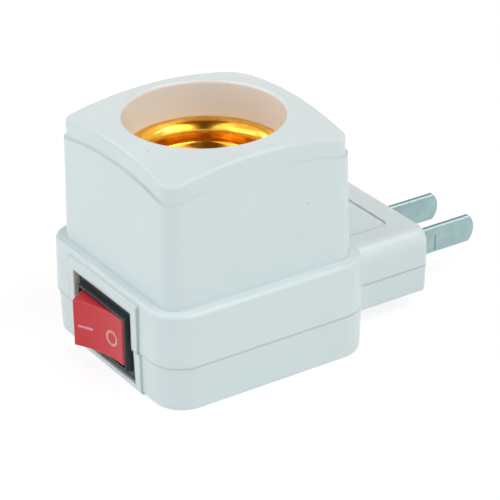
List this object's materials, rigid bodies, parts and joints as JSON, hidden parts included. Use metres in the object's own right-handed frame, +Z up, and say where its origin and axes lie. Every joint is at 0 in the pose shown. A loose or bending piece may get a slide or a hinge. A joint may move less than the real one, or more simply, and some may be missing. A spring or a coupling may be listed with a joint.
{
  "type": "plug in lamp holder",
  "caption": "Plug-in screw-shell lamp holder: square moulded tower on a base with a rocker switch in one side and a flat-blade mains plug block on the other.",
  "frame": {"origin": "on the flat bottom face, under the axis of the lamp socket", "axes": "+Z up along the lamp's axis, out of the socket's mouth; +X towards the plug blades; the switch is on the -X side"},
  "size_m": [0.0918, 0.0488, 0.05],
  "materials": {
    "white_shell": "smooth moulded, softly glossy",
    "white_cover": "smooth moulded, softly glossy",
    "gold_shell": "bright rolled sheet",
    "carrier_plastic": "moulded insulation",
    "contact_bronze": "spring sheet",
    "rivet_metal": "headed",
    "tag_metal": "tinned strip",
    "blade_metal": "nickel plated, drawn along its length",
    "screw_steel": "zinc plated",
    "switch_black": "moulded",
    "rocker_red": "moulded, satin",
    "plunger_plastic": "moulded",
    "spring_steel": "wire",
    "contact_copper": "copper sheet",
    "silver_tip": "silver contact",
    "terminal_brass": "punched strip",
    "wire_red": "soft insulation",
    "wire_white": "soft insulation",
    "wire_black": "soft insulation"
  },
  "bodies": {
    "holder": {"upper_shell": "white_shell", "bottom_cover": "white_cover", "screw_shell": "gold_shell", "contact_carrier": "carrier_plastic", "centre_contact": "contact_bronze", "centre_rivet": "rivet_metal", "shell_rivets": "rivet_metal", "solder_tags": "tag_metal", "plug_blade_left": "blade_metal", "plug_blade_right": "blade_metal", "cover_screws": "screw_steel", "carrier_screws": "screw_steel", "switch_body": "switch_black", "fixed_tip": "silver_tip", "common_terminal": "terminal_brass", "switched_terminal": "terminal_brass", "live_wire": "wire_red", "switched_wire": "wire_white", "neutral_wire": "wire_black"},
    "rocker": {"rocker": "rocker_red", "plunger": "plunger_plastic", "plunger_spring": "spring_steel"},
    "seesaw": {"moving_contact": "contact_copper", "moving_tip": "silver_tip"}
  },
  "joints": [
    {"name": "rocker_tilt", "type": "hinge", "parent": "holder", "child": "rocker", "pos_m": [-0.02165, 0, 0.0097], "axis": [0, 0, 1], "range_deg": [-31.8, 0]},
    {"name": "contact_tilt", "type": "hinge", "parent": "holder", "child": "seesaw", "pos_m": [-0.01415, 0, 0.0097], "axis": [0, 0, 1], "range_deg": [0, 17.2]}
  ],
  "couplings": [
    {"joint": "contact_tilt", "follows": "rocker_tilt", "ratio": -0.54}
  ]
}
